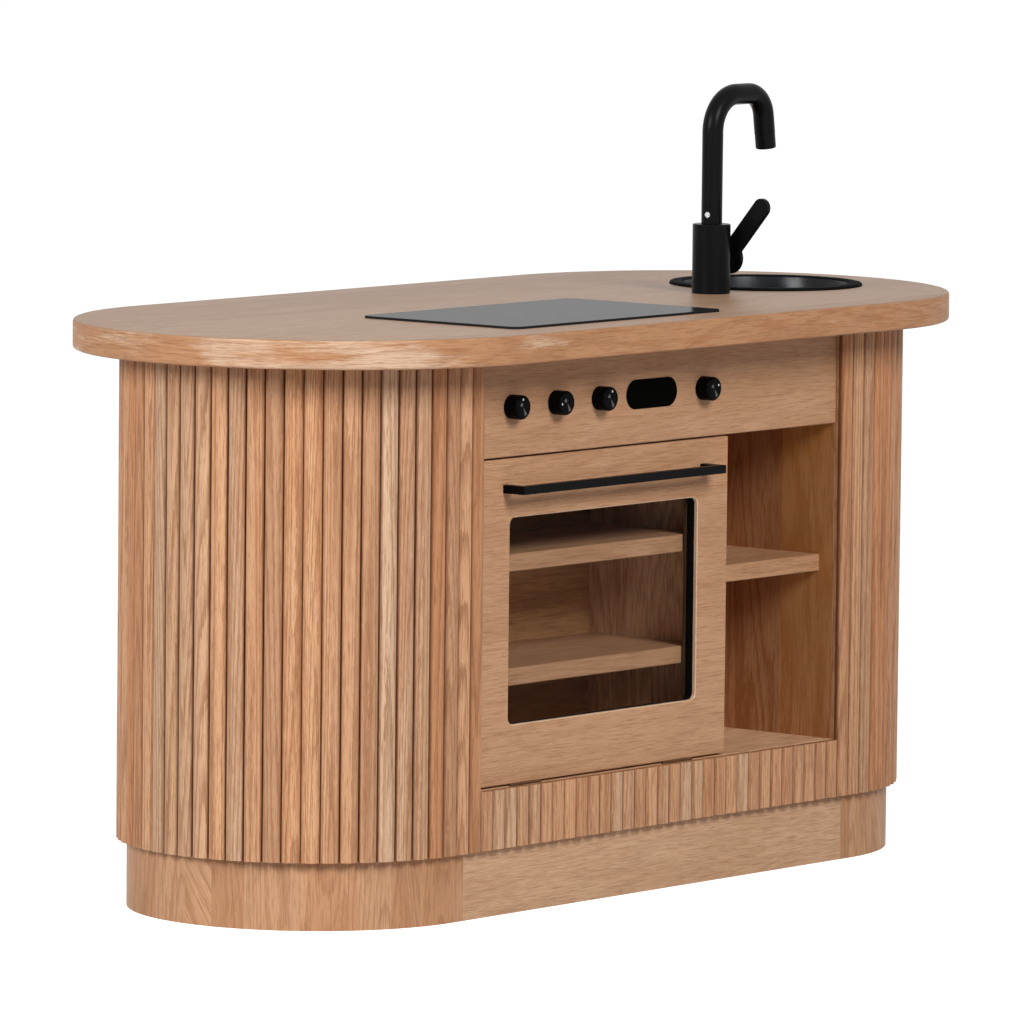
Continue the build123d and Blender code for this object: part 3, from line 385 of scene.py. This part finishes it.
# Slats: moulded oak slats glued side by side to the skin, with a broad round crest and eased ends.
# No two are cut from the same place, so tone and grain change from slat to slat.
def slat_pattern():
    """Geometry Nodes tree: a slat section run up a rail, set at an even pitch along a path."""
    tree = bpy.data.node_groups.new("slats_along_a_run", "GeometryNodeTree")
    wanted = {"Slat count": "Int", "Slat width": "Float", "Side height": "Float",
              "Crest rise": "Float", "Crest fullness": "Float", "Foot": "Float",
              "Length": "Float", "Eased end": "Float", "Seed": "Int", "Wood": "Material"}
    tree.interface.new_socket("Geometry", in_out="INPUT", socket_type="NodeSocketGeometry")
    names = {label: tree.interface.new_socket(label, in_out="INPUT",
                                              socket_type=f"NodeSocket{kind}").identifier
             for label, kind in wanted.items()}
    tree.interface.new_socket("Geometry", in_out="OUTPUT", socket_type="NodeSocketGeometry")
    recipe = Recipe(tree)
    given_node = recipe.node("NodeGroupInput").socket.node
    given = {label: Reading(recipe, given_node.outputs[label]) for label in ("Geometry", *wanted)}

    # The section: a flat back, two short sides and a broad crest that turns down near the sides.
    crest_points = 15
    number = recipe.node("GeometryNodeInputIndex")
    spread = ((number - 1) / (crest_points - 1)) * 2 - 1
    spread = spread.sum("MAXIMUM", spread.sum("MINIMUM", spread, 1.0), -1.0)
    spread = spread.sum("SINE", spread * (math.pi / 2))
    half = given["Slat width"] / 2
    left_over = 1 - spread.sum("ABSOLUTE", spread) ** given["Crest fullness"]
    crest = given["Side height"] + given["Crest rise"] * left_over ** (1 / given["Crest fullness"])
    on_crest = (number > 0.5) * (number < crest_points + 0.5)
    section = recipe.node("GeometryNodeMeshLine", None, {"Count": crest_points + 2})
    section_place = recipe.node("ShaderNodeCombineXYZ", None,
                                {0: spread * half, 1: crest * on_crest, 2: 0.0})
    section = recipe.node("GeometryNodeSetPosition", None,
                          {"Geometry": section, "Position": section_place})
    section = recipe.node("GeometryNodeMeshToCurve", None, {"Mesh": section})
    section = recipe.node("GeometryNodeSetSplineCyclic", None, {"Geometry": section, "Cyclic": True})

    # The rail: close rings near both ends draw the section in over the eased length, and the other
    # rings spread evenly over the rest of the slat.
    rail_points, ease_steps, mean_reach = 12, 4, 1.2
    from_end = number.sum("MINIMUM", number, (rail_points - 1) - number)
    ease = from_end.sum("MINIMUM", from_end, float(ease_steps)) / ease_steps * (math.pi / 2)
    near = given["Eased end"] * (1 - ease.sum("COSINE", ease))
    middle_step = (number - ease_steps) / (rail_points - 1 - 2 * ease_steps)
    middle = given["Eased end"] + middle_step * (given["Length"] - given["Eased end"] * 2)
    first_part, last_part = number < ease_steps - 0.5, number > rail_points - 0.5 - ease_steps
    rise = near * first_part + (given["Length"] - near) * last_part
    rise = rise + middle * (1 - first_part - last_part)
    shrink = given["Eased end"] / (half * mean_reach) * (1 - ease.sum("SINE", ease))
    rail = recipe.node("GeometryNodeMeshLine", None, {"Count": rail_points})
    rail_place = recipe.node("ShaderNodeCombineXYZ", None, {0: 0.0, 1: 0.0, 2: rise + given["Foot"]})
    rail = recipe.node("GeometryNodeSetPosition", None, {"Geometry": rail, "Position": rail_place})
    rail = recipe.node("GeometryNodeMeshToCurve", None, {"Mesh": rail})
    rail = recipe.node("GeometryNodeSetCurveRadius", None, {"Curve": rail, "Radius": 1 - shrink})
    slat = recipe.node("GeometryNodeCurveToMesh", None,
                       {"Curve": rail, "Profile Curve": section, "Fill Caps": True})
    slat = recipe.node("GeometryNodeStoreNamedAttribute",
                       {"data_type": "FLOAT_VECTOR", "domain": "POINT"},
                       {"Geometry": slat, "Name": "in_slat",
                        "Value": recipe.node("GeometryNodeInputPosition")})

    # One point for each slat, at the middle of its share of the run, turned to face outwards.
    places = recipe.node("GeometryNodeMeshLine", None, {"Count": given["Slat count"]})
    run_length = recipe.node("GeometryNodeCurveLength", None, {"Curve": given["Geometry"]})
    sample = recipe.node("GeometryNodeSampleCurve", {"mode": "LENGTH"},
                         {"Curves": given["Geometry"],
                          "Length": (number + 0.5) * run_length / given["Slat count"]}).socket.node
    at, along = (Reading(recipe, sample.outputs[label]) for label in ("Position", "Tangent"))
    places = recipe.node("GeometryNodeSetPosition", None, {"Geometry": places, "Position": at})
    turn = recipe.node("FunctionNodeAlignRotationToVector", {"axis": "X"}, {"Vector": along})
    stood = recipe.node("GeometryNodeInstanceOnPoints", None,
                        {"Points": places, "Instance": slat, "Rotation": turn})
    draw = recipe.node("FunctionNodeRandomValue", {"data_type": "FLOAT_VECTOR"},
                       {"Min": (0, 0, 0), "Max": (1, 1, 1), "ID": number, "Seed": given["Seed"]})
    stood = recipe.node("GeometryNodeStoreNamedAttribute",
                        {"data_type": "FLOAT_VECTOR", "domain": "INSTANCE"},
                        {"Geometry": stood, "Name": "slat_draw", "Value": draw})
    whole = recipe.node("GeometryNodeRealizeInstances", None, {"Geometry": stood})
    whole = recipe.node("GeometryNodeSetMaterial", None,
                        {"Geometry": whole, "Material": given["Wood"]})
    recipe.node("NodeGroupOutput", None, {0: whole})
    return tree, names


slat_side, slat_crest = 2 * mm, 6 * mm
groove_floor, groove_top = 2.6 * mm, 6.4 * mm
steady_draw = (0.45, 0.10, 0.70, 1)


def slat_oak(name, variety):
    """Oak whose tone, growth rings and pores are drawn anew for each slat, from a range that is full
    at a variety of 1 and closes on the steady draw below it."""
    material, recipe = finish_named(name)
    in_slat = recipe.node("ShaderNodeAttribute", {"attribute_name": "in_slat"}, None, 1)
    draw = recipe.node("ShaderNodeAttribute", {"attribute_name": "slat_draw"}, None, 1)
    draw = tint(recipe, variety, steady_draw, draw)
    across, depth, up = three_parts(recipe, in_slat)
    _, groove_shade_strength, warmth = three_parts(recipe, draw)
    grain = recipe.node("ShaderNodeCombineXYZ", None, {0: up, 1: across, 2: depth})
    pale = tint(recipe, between(warmth, 0.50, 0.95), (0.66, 0.370, 0.204, 1), (0.64, 0.430, 0.282, 1))
    tan = tint(recipe, between(warmth, 0.05, 0.8), (0.55, 0.245, 0.110, 1), (0.51, 0.272, 0.148, 1))
    # Painted shade: the grooves beside the crest are darkened where shade falls between the slats,
    # more for some slats than others.
    groove_shade = 1 - between(depth, groove_floor, groove_top)
    oak(recipe, grain, draw, pale, tan, (0.24, 0.088, 0.032, 1), flame=0.85,
        line=0.30 + variety * 0.28, rings=34, figure=(0.45, 17, 17), broad=(3, 70, 70), lot_reach=0.8,
        stain_or_shade=groove_shade * (groove_shade_strength * 0.75 + (0.55 - variety * 0.35)),
        stain_or_shade_colour=(0.12, 0.033, 0.008, 1))
    return material


slat_tree, slat_inputs = slat_pattern()


def set_slats(name, points, wood, sizes, *stands_for):
    """Slats along a path on the floor plane, as one plain mesh."""
    data = bpy.data.curves.new(name + "_run", "CURVE")
    data.dimensions = "3D"
    spline = data.splines.new("POLY")
    spline.points.add(len(points) - 1)
    for point, (x, y) in zip(spline.points, points):
        point.co = (x, y, 0, 1)
    path = bpy.data.objects.new(name + "_run", data)
    bpy.context.scene.collection.objects.link(path)
    pattern = path.modifiers.new("slats", "NODES")
    pattern.node_group = slat_tree
    for label, value in {**sizes, "Wood": wood}.items():
        pattern[slat_inputs[label]] = value
    evaluated = path.evaluated_get(bpy.context.evaluated_depsgraph_get())
    mesh = bpy.data.meshes.new_from_object(evaluated)
    mesh.name = name
    bpy.data.objects.remove(path)
    mesh.shade_smooth()
    mesh.set_sharp_from_angle(angle=math.radians(50))
    fit(bpy.data.objects.new(name, mesh), "cabinet", None, "oak_slat", *stands_for)


skin_radius, opening_half = 191 * mm, 297.5 * mm
turn_steps = 120
left_bend = [(-end_centre_x - skin_radius * math.sin(math.pi * step / turn_steps),
              -skin_radius * math.cos(math.pi * step / turn_steps)) for step in range(turn_steps + 1)]
right_bend = [(-x, y) for x, y in reversed(left_bend)]
opening_left, opening_right = (-opening_half, -skin_radius), (opening_half, -skin_radius)
slat_sizes = {"Slat width": 18.88 * mm, "Side height": slat_side, "Crest rise": slat_crest,
              "Crest fullness": 2.15, "Foot": 70 * mm, "Eased end": 2.2 * mm}
set_slats("wrapped_slats", [opening_left, *left_bend, *right_bend, opening_right],
          slat_oak("slat_oak", 1.0),
          {**slat_sizes, "Slat count": 101, "Length": 500 * mm, "Seed": 4},
          "left_slats", "right_slats", "rear_slats")
set_slats("strip_slats", [opening_right, opening_left], slat_oak("strip_slat_oak", 0.40),
          {**slat_sizes, "Slat count": 31, "Length": 60.5 * mm, "Seed": 11}, "front_slats")

# Worktop: a thick oval oak top glued up from long staves, with eased edges, screwed on from below.
# Its top is rubbed smooth and shows a sheen at a low angle; its oak is painted darker and greyer
# than the edge's, a painted sheen and shade. Its underside takes a darker, redder copy as painted
# shade.
top_stave, flat_enough = 74 * mm, 0.75
top_wood_painted_sheen = oak_board("worktop_top_painted_sheen", "X", "Y", top_stave, pale=(0.39, 0.255, 0.162, 1),
                     tan=(0.315, 0.19, 0.112, 1), seed=41.0, fleck=0.35, sheen=0.36, gloss=1.28)
underside_painted_shade = oak_board("worktop_underside_painted_shade", "X", "Y", top_stave, pale=(0.46, 0.20, 0.075, 1),
                       tan=(0.38, 0.155, 0.055, 1), seed=41.0)
edge_wood, recipe = finish_named("worktop_edge_oak")
edge_way, edge_height = round_the_end(recipe, 313 * mm, 260 * mm)
edge_grain = recipe.node("ShaderNodeCombineXYZ", None, {0: edge_way, 1: edge_height, 2: 0.0})
# A patch of pale sapwood shows on the left bend. To its right the edge is even in tone, with redder
# streaks of heartwood.
sapwood = between(edge_way, -0.70, -0.64) - between(edge_way, -0.46, -0.38)
heartwood = between(edge_way, -0.32, -0.10)
streaks = between(clouds(recipe, edge_grain, (15, 130, 130), 2.0, 0.6), 0.54, 0.60)
oak(recipe, edge_grain, recipe.node("ShaderNodeCombineXYZ", None, {0: 0.50, 1: 0.1, 2: 0.9}),
    (0.62, 0.425, 0.295, 1), (0.47, 0.243, 0.123, 1), (0.24, 0.095, 0.036, 1),
    flame=1.0, rings=14, figure=(2.5, 15, 15), broad=(9, 60, 60),
    ripeness=0.15 - sapwood * 0.20 + heartwood * 0.12, stain_or_shade=streaks * (heartwood * 0.32 + 0.10),
    stain_or_shade_colour=(0.37, 0.15, 0.06, 1))
worktop = fit(smooth_copy("oval_worktop", "worktop"), "cabinet", top_wood_painted_sheen, "oak_board", "worktop")
worktop.data.materials.append(edge_wood)
worktop.data.materials.append(underside_painted_shade)
# Faces split by their direction: up takes the painted sheen and shade, down the painted shade of the
# underside, and the rest the edge oak.
for face in worktop.data.polygons:
    up = face.normal.z
    face.material_index = 0 if up > flat_enough else 2 if up < -flat_enough else 1


# Hob: a thin black sheet with rounded corners, laid flat on the worktop and glued down. It is
# smooth enough to show the tap and the room at a low angle.
def speckled(name, scales, first, second, spread, least_rough, edges=None, **shine):
    """A plain finish: fine specks between two colours, and between two degrees of roughness."""
    material, recipe = finish_named(name)
    specks = clouds(recipe, place_on(recipe), scales)
    share = between(specks, *edges) if edges else specks
    surface(recipe, {"Base Color": tint(recipe, share, first, second),
                     "Roughness": specks * spread + least_rough, **shine})
    return material


hob_black = speckled("hob_black", (700, 700, 700), (0.012, 0.012, 0.013, 1), (0.022, 0.022, 0.023, 1),
                     0.06, 0.14, IOR=1.032)
fit(smooth_copy("hob_sheet", "hob_plate"), "cabinet", hob_black, "black_coat", "hob_plate")


# Tap: a turned pillar, a bent tube spout and a lever, all in fine black powder coat. The pillar is
# held by a stud, washer and nut under the worktop, and the spout turns in it.
def powder_coat(name, grit, least_rough, coat_colour, gloss=1.10):
    """A thin sprayed coat with a fine grit in it."""
    material, recipe = finish_named(name)
    grains = clouds(recipe, place_on(recipe), (grit, grit, grit), 1.0)
    patches = clouds(recipe, place_on(recipe), (40, 40, 40))
    relief = recipe.node("ShaderNodeBump", None,
                         {"Strength": 0.5, "Distance": 0.06 * mm, "Height": grains})
    paler = tuple(1.7 * part for part in coat_colour[:3]) + (1,)
    surface(recipe, {"Base Color": tint(recipe, between(grains, 0.4, 0.7), coat_colour, paler),
                     "Roughness": patches * 0.10 + least_rough, "Normal": relief, "IOR": gloss})
    return material


tap_coat = powder_coat("tap_powder_coat", 1300, 0.24, (0.0036, 0.0036, 0.0040, 1), gloss=1.15)
for part, body, source in (("pillar", "cabinet", "tap_body"), ("neck", "swan_neck", "tap_spout"),
                           ("outlet", "swan_neck", "tap_outlet"), ("handle", "lever", "tap_lever")):
    fit(smooth_copy(f"tap_{part}_coated", source), body, tap_coat, "black_coat", source)

# Screws and pins: small turned steel parts, left bright. The spout's set screw has a dark socket in
# a bright ring, and the rest is hidden under the worktop, in the door and under the shelves.
finish_with(speckled("bright_steel", (60, 900, 900), (0.62, 0.61, 0.59, 1), (0.74, 0.73, 0.71, 1),
                     0.15, 0.22, Metallic=1.0),
            "tap_stud", "tap_nut", "tap_washer", "lever_screw", "worktop_screws", "handle_screws",
            "shelf_pins", "strike_plate")
finish_with(speckled("set_screw_steel", (900, 900, 900), (0.20, 0.20, 0.20, 1), (0.62, 0.62, 0.61, 1),
                     0.3, 0.25, edges=(0.35, 0.65), Metallic=1.0), "tap_set_screw")

# Basin: a spun steel bowl with a rolled rim, dropped in its hole in the worktop. The rim is coated
# matt black, and the bowl inside it satin black.
bowl_satin = powder_coat("basin_bowl_satin", 900, 0.18, (0.006, 0.007, 0.0085, 1), gloss=1.26)
rim_matt = powder_coat("basin_rim_matt", 900, 0.62, (0.004, 0.004, 0.0045, 1), gloss=1.06)
basin_middle, bowl_reach, rim_foot = Vector((405 * mm, -9 * mm, 0)), 91 * mm, 601 * mm
basin = fit(smooth_copy("spun_basin", "basin"), "basin_bowl", bowl_satin, "black_steel", "basin")
basin.data.materials.append(rim_matt)
for face in basin.data.polygons:
    out = (face.center - basin_middle).xy.length
    face.material_index = 1 if out > bowl_reach or face.center.z > rim_foot else 0

# Oven door: an inset oak board with its grain across, cut out for a rounded window. The reveal
# round the window is painted pale, a painted highlight where its eased edge catches the light.
door_stave = 133 * mm
door_oak = oak_board("door_oak", "X", "Z", door_stave, pale=(0.585, 0.335, 0.190, 1),
                     tan=(0.475, 0.247, 0.124, 1), seed=55.0, shift=-14 * mm, flame=0.5, line=0.20,
                     fleck=0.52, pores=(28, 880, 880))
lip_painted_highlight = oak_board("window_lip_painted_highlight", "X", "Z", door_stave, pale=(0.86, 0.62, 0.42, 1),
                    tan=(0.80, 0.54, 0.34, 1), seed=57.0, flame=0.4, line=0.05, fleck=0.2)
window_middle, window_reach_x, window_reach_z = Vector((-92 * mm, 0, 299.5 * mm)), 158 * mm, 110 * mm
lip_depth, facing_front = 4.5 * mm, 0.97
oven_door = fit(smooth_copy("oven_door_board", "oven_door"), "drop_door", door_oak, "oak_board",
                "oven_door")
oven_door.data.materials.append(lip_painted_highlight)
lip_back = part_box("oven_door")[0][1] + lip_depth
# Reveal faces round the window take the painted highlight.
for face in oven_door.data.polygons:
    off = face.center - window_middle
    in_window = abs(off.x) < window_reach_x and abs(off.z) < window_reach_z
    if in_window and face.center.y < lip_back and abs(face.normal.y) < facing_front:
        face.material_index = 1

# Window: a clear plastic pane in a black rubber seal, held in the rebate by four beads, coloured the
# dark brown of the shaded inside as painted shade. The same black is on the knob bushes and the magnet
# catch.
finish_with(speckled("soft_black", (300, 300, 300), (0.004, 0.004, 0.004, 1), (0.008, 0.008, 0.008, 1),
                     0.1, 0.5, IOR=1.1), "window_seal", "knob_bushes", "magnet_catch")
finish_with(speckled("bead_painted_shade", (30, 300, 300), (0.095, 0.050, 0.027, 1), (0.070, 0.0355, 0.019, 1),
                     0.12, 0.45, IOR=1.08), "pane_beads")
pane_clear, recipe = finish_named("clear_pane")
smear = clouds(recipe, place_on(recipe), (9, 9, 9))
surface(recipe, {"Base Color": (0.01, 0.012, 0.012, 1), "Roughness": smear * 0.04 + 0.03,
                 "Alpha": 0.06, "IOR": 1.2})
finish_with(pane_clear, "door_pane")

# Hinges: two small steel butt hinges let into the door's bottom edge and the board under it. They
# are given a dark brown as painted shade, so they read as the shaded gap under the door.
finish_with(speckled("hinge_painted_shade", (400, 400, 400), (0.10, 0.045, 0.022, 1), (0.16, 0.075, 0.038, 1),
                     0.2, 0.5, IOR=1.15), "cabinet_hinge_leaves", "door_hinge_leaves", "hinge_pins")

# Door handle: a square bar with two legs, in black powder coat, held from behind the door by a
# screw in each leg.
handle_coat = powder_coat("handle_powder_coat", 1300, 0.30, (0.0035, 0.0035, 0.0038, 1))
fit(smooth_copy("door_bar_handle", "door_handle"), "drop_door", handle_coat, "black_coat",
    "door_handle")

# Knobs: moulded satin black caps on shafts, each with a white enamel dot near the rim. The face is
# spun, and painted highlights lie in the caps' colour: a narrow wedge from the middle outwards and a
# grey spot near the middle.
knob_black, recipe = finish_named("knob_black")
on_knob = recipe.node("ShaderNodeAttribute", {"attribute_name": "on_knob"}, None, 1)
off_x, off_z, _ = three_parts(recipe, on_knob)
knob_turn = off_x.sum("ARCTAN2", off_z, off_x)


def painted_light_wedge(direction, low, high):
    """Painted highlight: 1 along one direction on the knob's face, fading to both sides."""
    off_line = knob_turn - math.radians(direction)
    return between(off_line.sum("COSINE", off_line), low, high)


from_axis = off_x * off_x + off_z * off_z
from_axis = from_axis.sum("SQRT", from_axis)
on_face = 1 - between(from_axis, 8.8 * mm, 9.6 * mm)
near_middle = between(from_axis, 1.5 * mm, 2.5 * mm) - between(from_axis, 4.5 * mm, 6 * mm)
# Painted highlights in the cap's colour: a narrow wedge to the lower right and a grey spot up and to
# the left of the middle.
shine = (painted_light_wedge(-62, 0.955, 0.995) * 0.8 + painted_light_wedge(135, 0.86, 0.97) * near_middle) * on_face
turned = clouds(recipe, recipe.node("ShaderNodeCombineXYZ", None, {0: from_axis, 1: 0.0, 2: 0.0}),
                (4000, 4000, 4000), 1.0)
cap_colour = tint(recipe, shine, (0.0025, 0.0025, 0.0027, 1), (0.12, 0.12, 0.125, 1))
surface(recipe, {"Base Color": cap_colour, "Roughness": turned * 0.12 + 0.20, "IOR": 1.08})
dot_white, recipe = finish_named("dot_enamel")
dot_dust = clouds(recipe, place_on(recipe), (900, 900, 900), 1.0)
dot_colour = tint(recipe, dot_dust, (0.68, 0.68, 0.68, 1), (0.56, 0.56, 0.56, 1))
surface(recipe, {"Base Color": dot_colour, "Roughness": 0.4})


def spun_mesh(name, profile, centre, axis, steps):
    """A closed turned shape. profile gives (radius, distance along the axis) and starts and ends on
    the axis."""
    form = bmesh.new()
    rings = []
    for radius, rise in profile:
        if radius == 0:
            rings.append([form.verts.new(centre + axis[2] * rise)])
        else:
            rings.append([form.verts.new(centre + axis[2] * rise
                                         + axis[0] * radius * math.cos(2 * math.pi * step / steps)
                                         + axis[1] * radius * math.sin(2 * math.pi * step / steps))
                          for step in range(steps)])
    for lower, upper in zip(rings, rings[1:]):
        for step in range(steps):
            after = (step + 1) % steps
            if len(lower) == 1:
                form.faces.new((lower[0], upper[after], upper[step]))
            elif len(upper) == 1:
                form.faces.new((lower[step], lower[after], upper[0]))
            else:
                form.faces.new((lower[step], lower[after], upper[after], upper[step]))
    bmesh.ops.recalc_face_normals(form, faces=form.faces)
    mesh = bpy.data.meshes.new(name)
    form.to_mesh(mesh)
    form.free()
    mesh.shade_smooth()
    mesh.set_sharp_from_angle(angle=math.radians(40))
    return mesh


panel_middle, dot_floor_y, dot_ring = 519 * mm, -203.2 * mm, 8.0 * mm
knob_axis = (Vector((1, 0, 0)), Vector((0, 0, 1)), Vector((0, -1, 0)))
dot_profile = [(0, 0), (1.24 * mm, 0), (1.24 * mm, 0.35 * mm), (1.1 * mm, 0.46 * mm),
               (0.6 * mm, 0.53 * mm), (0, 0.55 * mm)]
for order, number, knob_x, dot_angle in (("first", 1, -246 * mm, 90), ("second", 2, -175 * mm, 185),
                                         ("third", 3, -104 * mm, 72), ("fourth", 4, 68 * mm, 27)):
    cap = smooth_copy(f"{order}_knob_cap", f"knob_{number}")
    from_middle = cap.data.attributes.new("on_knob", "FLOAT_VECTOR", "POINT")
    for vertex in cap.data.vertices:
        x, y, z = vertex.co
        from_middle.data[vertex.index].vector = (x - knob_x, z - panel_middle, y)
    fit(cap, f"{order}_knob", knob_black, "black_knob", f"knob_{number}")
    dot_centre = Vector((knob_x + dot_ring * math.cos(math.radians(dot_angle)), dot_floor_y,
                         panel_middle + dot_ring * math.sin(math.radians(dot_angle))))
    dot = spun_mesh(f"{order}_knob_dot", dot_profile, dot_centre, knob_axis, 16)
    fit(bpy.data.objects.new(f"{order}_knob_dot", dot), f"{order}_knob", dot_white, "black_knob")

# Display: a glossy black plastic lens with round ends, pressed flush into the control panel. Nothing
# is printed on it.
lens_black, recipe = finish_named("display_gloss")
haze = clouds(recipe, place_on(recipe), (30, 30, 30))
surface(recipe, {"Base Color": (0.0015, 0.0015, 0.0012, 1), "Roughness": haze * 0.05 + 0.18,
                 "IOR": 1.03})
finish_with(lens_black, "display_lens")
